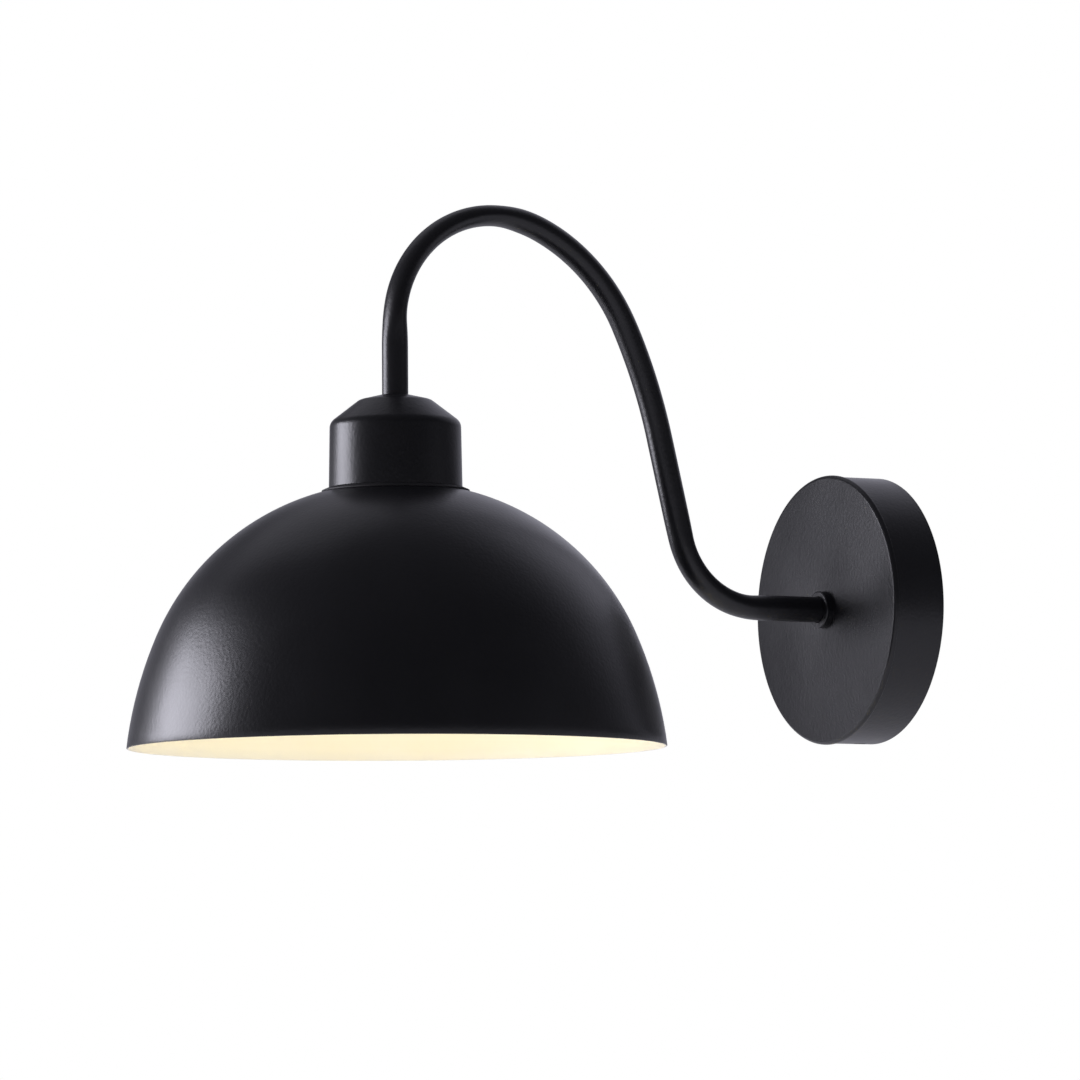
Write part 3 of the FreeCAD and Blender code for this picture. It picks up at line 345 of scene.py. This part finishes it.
# ------------------------------------------------------------------------- the shade
def dome_run(inset, step=1.5):
    """The dome's outline from rim to seat, moved in by inset, as (radius, height)."""
    angles = [math.radians(a) for a in (RIM_ANGLE, WAIST_ANGLE, CROWN_ANGLE, 90.0)]
    s0, s1, s2 = [math.sin(a) for a in angles[:3]]
    c0, c1, c2 = [math.cos(a) for a in angles[:3]]
    height = SHADE_H - SEAT_ROUND * (1 - s2)
    width = SHADE_D / 2 - SEAT_R - SEAT_ROUND * c2
    a, b, c, d = s1 - s0, s2 - s1, c0 - c1, c1 - c2
    spread = a * d - b * c
    radii = ((height * d - b * width) / spread, (a * width - c * height) / spread, SEAT_ROUND)
    middle = Vector((SHADE_D / 2, SHADE_RIM)) - Vector((c0, s0)) * radii[0]
    run = []
    for i, radius in enumerate(radii):
        if i:
            middle += Vector((math.cos(angles[i]), math.sin(angles[i]))) * (radii[i - 1] - radius)
        steps = int(math.degrees(angles[i + 1] - angles[i]) / step)
        for k in range(0 if i == 0 else 1, steps + 1):
            angle = angles[i] + (angles[i + 1] - angles[i]) * k / steps
            spot = middle + Vector((math.cos(angle), math.sin(angle))) * (radius - inset)
            run.append((spot.x, spot.y))
    return run


def make_shade():
    outer, inner = dome_run(0), dome_run(SHADE_WALL)
    hole = SHADE_HOLE_D / 2
    half = SHADE_WALL / 2
    lean = math.radians(RIM_ANGLE)
    along = Vector((math.cos(lean), math.sin(lean)))
    middle = Vector(outer[0]) - along * half + Vector((-along.y, along.x)) * half
    rim = []
    rim_steps = 8
    for k in range(1, rim_steps):
        angle = lean - math.pi * k / rim_steps
        rim.append(tuple(middle + Vector((math.cos(angle), math.sin(angle))) * half))
    # the run starts at the outside, goes up to the hole, back down inside and round the rim
    lift = [p for p in outer if p[1] > middle.y]
    fall = [p for p in inner if p[1] > middle.y]
    outline = lift + [(hole, SHADE_TOP), (hole, SHADE_TOP - SHADE_WALL)] + fall[::-1] + rim[::-1]
    # the enamel runs from the hole's lower edge to the middle of the rolled rim
    inside_from = len(lift) + 1
    inside_to = len(lift) + 2 + len(fall) + rim_steps // 2 - 1
    points, faces, bands = turned(outline, True, 256)
    made = piece("shade_dome", points, faces, "black_powder_coat", "cream_enamel")
    for one, band in zip(made.data.polygons, bands):
        one.material_index = 1 if inside_from <= band < inside_to else 0
    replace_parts(outward(made), "shade")


# ---------------------------------------------------------------------------- the arm
def arm_line(spacing=1.5):
    """Points, headings and the flattening of the arm every spacing millimetres."""
    turned_up = FOOT_TURN
    rad = math.radians
    dx = FOOT_R * math.sin(rad(FOOT_TURN))
    dz = FOOT_R * (1 - math.cos(rad(FOOT_TURN)))
    for radius, turn in zip(ARCH_RADII, ARCH_TURNS):
        after = turned_up - turn
        dx += radius * (math.sin(rad(turned_up)) - math.sin(rad(after)))
        dz += radius * (math.cos(rad(after)) - math.cos(rad(turned_up)))
        turned_up = after
    dx += CROWN_R * (math.sin(rad(turned_up)) + 1)
    rise = (CROWN_H - dz - CROWN_R * (1 - math.cos(rad(turned_up)))) / math.sin(rad(FOOT_TURN))
    foot = REACH - dx - rise * math.cos(rad(FOOT_TURN))
    drop = CROWN_H - CROWN_R - ARM_DROP
    # each run: its length, its turn in degrees and how thin it leaves the tube
    runs = [(foot, 0, 1.0), (FOOT_R * rad(FOOT_TURN), FOOT_TURN, FOOT_THIN), (rise, 0, 1.0)]
    runs += [(r * rad(t), -t, f) for r, t, f in zip(ARCH_RADII, ARCH_TURNS, ARCH_THIN)]
    last_turn = turned_up + 90
    runs += [(CROWN_R * rad(last_turn), -last_turn, CROWN_THIN), (drop, 0, 1.0)]
    x, z, heading = PLATE_DEPTH, 0.0, 0.0
    line = [(x, z, heading)]
    shares = [runs[0][2]]
    for length, turn, share in runs:
        steps = max(2, int(round(length / spacing)))
        part = length / steps
        bend = rad(turn) / steps
        for _ in range(steps):
            middle = heading + bend / 2
            chord = part if abs(bend) < 1e-9 else part * math.sin(bend / 2) / (bend / 2)
            x += chord * math.cos(middle)
            z += chord * math.sin(middle)
            heading += bend
            line.append((x, z, heading))
            shares.append(share)
    # the squeeze eases in and out over nearly a tube's width each way
    easing = int(TUBE_D * 0.9 / spacing)
    weights = np.hanning(2 * easing + 3)[1:-1]
    longer = np.pad(np.array(shares), easing, mode="edge")
    eased = np.convolve(longer, weights / weights.sum(), mode="valid")
    return line, eased


def make_arm(around=72):
    line, eased = arm_line()
    points, faces = [], []
    for wall in (0.0, TUBE_WALL):
        for (x, z, heading), share in zip(line, eased):
            radius = TUBE_D / 2
            thin = radius * share - wall
            wide = radius * math.sqrt(2 - share ** 2) - wall
            for k in range(around):
                angle = 2 * math.pi * k / around
                up, side = thin * math.cos(angle), wide * math.sin(angle)
                points.append((x - up * math.sin(heading), side, z + up * math.cos(heading)))
    count = len(line)
    for shell in (0, 1):
        base = shell * count * around
        for i in range(count - 1):
            for k in range(around):
                j = (k + 1) % around
                faces.append((base + i * around + k, base + i * around + j,
                              base + (i + 1) * around + j, base + (i + 1) * around + k))
    inner = count * around
    for end in (0, (count - 1) * around):
        for k in range(around):
            j = (k + 1) % around
            faces.append((end + k, end + j, inner + end + j, inner + end + k))
    made = piece("bent_arm", points, faces, "black_powder_coat")
    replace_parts(outward(made), "arm_tube")


# ---------------------------------------------------------------- other turned pieces
def make_turned(name, corners, round_shade, finish, node, segments=192, thread=None):
    points, faces, _ = turned(rounded(corners), round_shade, segments, thread)
    made = piece(name, points, faces, finish)
    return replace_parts(outward(made), node)


def make_wall_plate():
    side, lip = PLATE_D / 2 - PLATE_LIP, PLATE_D / 2
    inner, back = side - PLATE_WALL, PLATE_DEPTH - PLATE_WALL
    bore = THREAD_D / 2 + FIT
    made = make_turned("wall_plate_cover", [
        (0, side, COAT_EDGE),
        (PLATE_DEPTH - PLATE_LIP_W, side, PLATE_LIP_CREASE),
        (PLATE_DEPTH - PLATE_LIP_W, lip, COAT_EDGE),
        (PLATE_DEPTH, lip, PLATE_EDGE_R),
        (PLATE_DEPTH, bore, FINE_EDGE),
        (back, bore, FINE_EDGE),
        (back, inner, PLATE_WALL),
        (0, inner, COAT_EDGE),
    ], False, "black_powder_coat", "wall_plate", 256)
    for way in (1, -1):
        sink = SIDE_SCREW_HEAD_D / 2 + FIT
        hole = SIDE_SCREW_D / 2 + CLEAR
        # a cone for the screw's head, then its hole: distance from the plate's middle, radius
        levels = [(side + 1, sink), (side, sink), (side - (sink - hole), hole),
                  (side - 2 * PLATE_WALL, hole)]
        points, faces = [], []
        around = 64
        for height, radius in levels:
            for k in range(around):
                angle = 2 * math.pi * k / around
                points.append((SIDE_SCREW_X + radius * math.cos(angle), radius * math.sin(angle),
                               way * height))
        for i in range(len(levels) - 1):
            for k in range(around):
                j = (k + 1) % around
                faces.append((i * around + k, i * around + j,
                              (i + 1) * around + j, (i + 1) * around + k))
        faces.append(tuple(range(around)))
        faces.append(tuple((len(levels) - 1) * around + k for k in range(around)))
        carve(made, outward(piece("cutter", points, faces, "black_powder_coat")))


def make_cap():
    top_r = CAP_D / 2 - CAP_TAPER
    low, seat = SEAL_TOP, TUBE_D / 2 + CAP_SEAT_RIM
    bore = THREAD_D / 2 + FIT
    inset = CAP_WALL
    make_turned("holder_cap", [
        (CAP_D / 2, low, COAT_EDGE),
        (top_r, low + CAP_SIDE_H, CAP_SHOULDER_R),
        (CAP_TOP_R, low + CAP_TOP_H, CAP_BROW_R),
        (seat, low + CAP_H, 1.0),
        (bore, low + CAP_H, 0),
        (bore, low + CAP_H - inset, 0),
        (seat, low + CAP_H - inset, 0.5),
        (CAP_TOP_R - 0.3, low + CAP_TOP_H - inset, CAP_INSIDE_R),
        (top_r - inset, low + CAP_SIDE_H - inset * 0.6, CAP_INSIDE_R),
        (CAP_D / 2 - inset, low, COAT_EDGE),
    ], True, "black_powder_coat", "socket_cap")


make_shade()
make_arm()
make_wall_plate()
make_cap()
make_turned("arm_collar_ring", [
    (PLATE_DEPTH, TUBE_D / 2 + FIT, 0),
    (PLATE_DEPTH, COLLAR_D / 2, 0),
    (PLATE_DEPTH + COLLAR_W, COLLAR_D / 2, COLLAR_EDGE),
    (PLATE_DEPTH + COLLAR_W, TUBE_D / 2 + FIT, 0.4),
], False, "black_powder_coat", "arm_collar", 128)
make_turned("shade_seal", [
    (SEAL_BORE_R, SHADE_TOP, FINE_EDGE),
    (SEAT_R, SHADE_TOP, 0),
    (SEAL_D / 2, SHADE_TOP - SEAL_DROOP, 0.15),
    (SEAL_D / 2, SHADE_TOP - SEAL_DROOP + SEAL_EDGE_T, FINE_EDGE),
    (CAP_D / 2 + SEAL_EDGE_T, SEAL_TOP, 0.5),
    (SEAL_BORE_R, SEAL_TOP, FINE_EDGE),
], True, "black_seal", "seal_washer")

# the arm's nipple at the wall, with its M10 x 1 thread past the plate
NIPPLE_END, SPIGOT_LEN, BORE_R = 17.7, 10.0, 3.5
spigot_r = TUBE_D / 2 - TUBE_WALL - FIT
make_turned("threaded_nipple", [
    (PLATE_DEPTH + SPIGOT_LEN, BORE_R, 0),
    (PLATE_DEPTH + SPIGOT_LEN, spigot_r, 0.4),
    (PLATE_DEPTH, spigot_r, 0),
    (PLATE_DEPTH, THREAD_D / 2, 0),
    (NIPPLE_END, THREAD_D / 2, 0.5),
    (NIPPLE_END, BORE_R, 0),
], False, "zinc_plated_steel", "wall_nipple", 96,
    (1.0, 0.55, THREAD_D / 2, NIPPLE_END, PLATE_DEPTH - PLATE_WALL))

# the holder's threaded skirt, which shows under the ring from below
SKIRT_R, SKIRT_BORE_R, FLANGE_R, SKIRT_EDGE = 19.8, 15.0, 23.0, 0.8
SKIRT_LOW, SKIRT_TOP, BLOCK_LOW = SHADE_TOP - 18.0, SHADE_TOP + 14.0, SHADE_TOP + 12.0
FLANGE_T, BLOCK_RECESS = 3.0, 1.2     # the flange under the shade, the ceramic block's seat
make_turned("threaded_skirt", [
    (SKIRT_BORE_R, SKIRT_LOW, SKIRT_EDGE),
    (SKIRT_R, SKIRT_LOW, SKIRT_EDGE),
    (SKIRT_R, SHADE_TOP, 0),
    (FLANGE_R, SHADE_TOP, 0),
    (FLANGE_R, SHADE_TOP + FLANGE_T, SKIRT_EDGE),
    (SKIRT_R, SHADE_TOP + FLANGE_T, 0),
    (SKIRT_R, SKIRT_TOP, 0),
    (SKIRT_BORE_R + BLOCK_RECESS, SKIRT_TOP, 0),
    (SKIRT_BORE_R + BLOCK_RECESS, BLOCK_LOW, 0),
    (SKIRT_BORE_R, BLOCK_LOW, 0),
], True, "black_phenolic", "lampholder_skirt", 160, (2.5, 0.9, SKIRT_R, SKIRT_LOW, SHADE_TOP))


def make_lead(name, node, finish, points, diameter=1.8):
    """A thin insulated core on one smooth line."""
    curve = bpy.data.curves.new(name, "CURVE")
    curve.dimensions = "3D"
    spline = curve.splines.new("NURBS")
    spline.points.add(len(points) - 1)
    for spot, place in zip(spline.points, points):
        spot.co = [c * MM for c in place] + [1.0]
    spline.order_u = 3
    spline.use_endpoint_u = True
    spline.resolution_u = 24
    curve.bevel_depth = diameter / 2 * MM
    curve.bevel_resolution = 6
    curve.use_fill_caps = True
    made = bpy.data.objects.new(name, curve)
    bpy.context.scene.collection.objects.link(made)
    curve.materials.append(finishes[finish])
    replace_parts(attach(made, "fixture"), node)


LEAD_APART, LEAD_OUT = 1.3, 1.5       # from the flex's middle, and straight out of its end
POLE_X, POLE_Y, FLEX_START = 6.95, 4.0, 14.7
HEAD_Y, FLEX_END, POST_TOP = 10.56, SHADE_TOP + 28.0, SHADE_TOP + 21.1
for finish, label, side in (("brown_pvc", "live", 1), ("blue_pvc", "neutral", -1)):
    make_lead(label + "_wall_lead", label + "_core_wall", finish, [
        (FLEX_START, LEAD_APART * side, 0),
        (FLEX_START - LEAD_OUT, LEAD_APART * side, 0),
        (POLE_X, POLE_Y * side, -0.5),
        (POLE_X, POLE_Y * side, 7.0),
        (POLE_X, POLE_Y * side, 13.0),
    ])
    make_lead(label + "_head_lead", label + "_core_head", finish, [
        (AXIS_X, LEAD_APART * side, FLEX_END),
        (AXIS_X, LEAD_APART * side, FLEX_END - LEAD_OUT),
        (AXIS_X, HEAD_Y * side, POST_TOP + LEAD_OUT),
        (AXIS_X, HEAD_Y * side, POST_TOP),
    ])
# from the lug on the plate's nipple, out in a loop, to the lug on the bracket's earth screw
PLATE_LUG_X, BRACKET_LUG_X, BRACKET_LUG_Z = 22.6, 4.9, -16.0
make_lead("earth_loop", "earth_lead", "green_yellow_pvc", [
    (PLATE_LUG_X, 11.25, 0),
    (PLATE_LUG_X, 17.0, 0),
    (PLATE_LUG_X, 30.0, 0),
    (BRACKET_LUG_X, 31.5, BRACKET_LUG_Z),
    (BRACKET_LUG_X, 20.5, BRACKET_LUG_Z),
    (BRACKET_LUG_X, 14.75, BRACKET_LUG_Z),
])

# ------------------------------------------------------------- finishes of CAD nodes
NODE_FINISH = {
    "zinc_plated_steel": [
        "wall_bracket", "wall_nut", "wall_washer", "wall_nipple", "head_nipple", "head_nut",
        "earth_washer", "earth_screw", "block_screw", "terminal_screws", "holder_screws"],
    "black_powder_coat": [
        "side_screws", "wall_plate", "arm_collar", "arm_tube", "socket_cap", "shade"],
    "tinned_copper": ["earth_lug", "plate_lug"],
    "brass": ["terminal_tubes", "screw_shell", "centre_contact"],
    "white_nylon": ["cable_bush", "terminal_block"],
    "black_phenolic": ["lampholder_dome", "lampholder_skirt", "shade_ring"],
    "black_seal": ["seal_washer"],
    "white_ceramic": ["contact_block"],
    "opal_glass": ["bulb_globe"],
    "nickel_cap": ["bulb_cap"],
    "black_glass": ["bulb_insulator"],
    "solder": ["bulb_tip"],
    "black_pvc": ["flex"],
    "brown_pvc": ["live_core_wall", "live_core_head"],
    "blue_pvc": ["neutral_core_wall", "neutral_core_head"],
    "green_yellow_pvc": ["earth_lead"],
}
for finish, names in NODE_FINISH.items():
    for name in names:
        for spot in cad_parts[name].material_slots:
            spot.material = finishes[finish]

# ------------------------------------------------------------------ camera and stage
camera = bpy.data.objects.new("camera", bpy.data.cameras.new("camera"))
bpy.context.scene.collection.objects.link(camera)
camera.data.sensor_width = 36.0
camera.data.lens = 233.333
camera.data.clip_start, camera.data.clip_end = 0.1, 100.0
RIGHT = Vector((-0.87702569, 0.48039236, -0.00700816))
DOWN = Vector((-0.03192286, -0.07282201, -0.99683393))
AHEAD = Vector((-0.47938175, -0.87402525, 0.07920227))
turn = Matrix((RIGHT, -DOWN, -AHEAD)).transposed()
camera.matrix_world = Matrix.Translation(Vector((1.7265, 2.8203, -0.2274))) @ turn.to_4x4()
bpy.context.scene.camera = camera

FLOOR_Z, FLOOR_HALF = -0.30, 4.0
floor_mesh = bpy.data.meshes.new("floor")
floor_corners = [(x * FLOOR_HALF, y * FLOOR_HALF, FLOOR_Z)
                 for x, y in ((-1, -1), (1, -1), (1, 1), (-1, 1))]
floor_mesh.from_pydata(floor_corners, [], [(0, 1, 2, 3)])
floor = bpy.data.objects.new("floor", floor_mesh)
bpy.context.scene.collection.objects.link(floor)
floor_mesh.materials.append(finishes["floor_paper"])


COOL = "#F4F3FF"        # the studio's lamps, a little blue beside the lit bulb


def area(name, towards, distance, size, radiance):
    """A soft lamp of that size, that looks at the light's middle from that way and distance."""
    middle = Vector((0.20, 0.0, 0.04))
    lamp = bpy.data.lights.new(name, "AREA")
    lamp.shape = "RECTANGLE"
    lamp.size, lamp.size_y = size
    lamp.energy = radiance * math.pi * size[0] * size[1]
    lamp.color = colour(COOL)[:3]
    made = bpy.data.objects.new(name, lamp)
    way = Vector(towards).normalized()
    made.location = middle + way * distance
    made.rotation_mode = "QUATERNION"
    made.rotation_quaternion = way.to_track_quat("Z", "Y")
    bpy.context.scene.collection.objects.link(made)


LEFT, UP = -RIGHT, Vector((0, 0, 1))
area("key_light", AHEAD * 0.13 + LEFT * 0.98 + UP * 0.04, 0.8, (0.48, 0.46), 9.2)
area("top_light", AHEAD * 0.50 + LEFT * 0.35 + UP * 0.80, 1.5, (1.0, 1.0), 0.32)
area("fill_light", RIGHT * 0.95 - AHEAD * 0.25, 1.6, (0.9, 1.2), 0.05)

world = bpy.data.worlds.new("studio")
bpy.context.scene.world = world
world.use_nodes = True
tree = world.node_tree
tree.nodes.clear()
# The camera sees white.  Reflections see the same white behind the light, and round it a dim
# studio, darker on the viewer's side and on the right, with a soft glow behind and above.
path = add(tree, "LightPath").outputs
way = add(tree, "TexCoord").outputs["Generated"]
window = (RIGHT * 0.45 + AHEAD * 0.75 + UP * 0.45).normalized()
ahead = add(tree, "VectorMath", {1: AHEAD}, {0: way}, operation="DOT_PRODUCT").outputs["Value"]
beside = add(tree, "VectorMath", {1: RIGHT}, {0: way}, operation="DOT_PRODUCT").outputs["Value"]
above = add(tree, "VectorMath", {1: window}, {0: way}, operation="DOT_PRODUCT").outputs["Value"]
from_side = add(tree, "MapRange",
                {"From Min": -0.5, "From Max": 0.8, "To Min": 0.14, "To Max": 0.06},
                {"Value": beside})
from_front = add(tree, "MapRange",
                 {"From Min": -1.0, "From Max": -0.2, "To Min": 0.45, "To Max": 1.0},
                 {"Value": ahead})
backdrop = add(tree, "MapRange",
               {"From Min": 0.90, "From Max": 1.0, "To Min": 0.0, "To Max": 0.6},
               {"Value": ahead})
glow = add(tree, "MapRange",
           {"From Min": 0.78, "From Max": 1.0, "To Min": 0.0, "To Max": 0.66},
           {"Value": above})
walls = add(tree, "Math", links={0: from_side.outputs[0], 1: from_front.outputs[0]},
            operation="MULTIPLY")
upper = add(tree, "Math", links={0: walls.outputs[0], 1: glow.outputs[0]}, operation="ADD")
seen = add(tree, "Math", links={0: upper.outputs[0], 1: backdrop.outputs[0]}, operation="ADD")
plain = add(tree, "Mix", {"A": 0.75, "B": 1.0}, {"Factor": path["Is Camera Ray"]})
glossy = add(tree, "Mix", links={"Factor": path["Is Glossy Ray"],
                                 "A": plain.outputs[0], "B": seen.outputs[0]})
through = add(tree, "Mix", {"B": 1.0},
              {"Factor": path["Is Transmission Ray"], "A": glossy.outputs[0]})
cool = add(tree, "Mix", {"A": colour("#EFEEFF"), "B": colour("#FFFFFF")},
           {"Factor": path["Is Camera Ray"]}, data_type="RGBA")
sky = add(tree, "Background", links={"Color": cool.outputs[2], "Strength": through.outputs[0]})
add(tree, "OutputWorld", links={"Surface": sky.outputs[0]})

bpy.context.scene.view_settings.view_transform = "Standard"
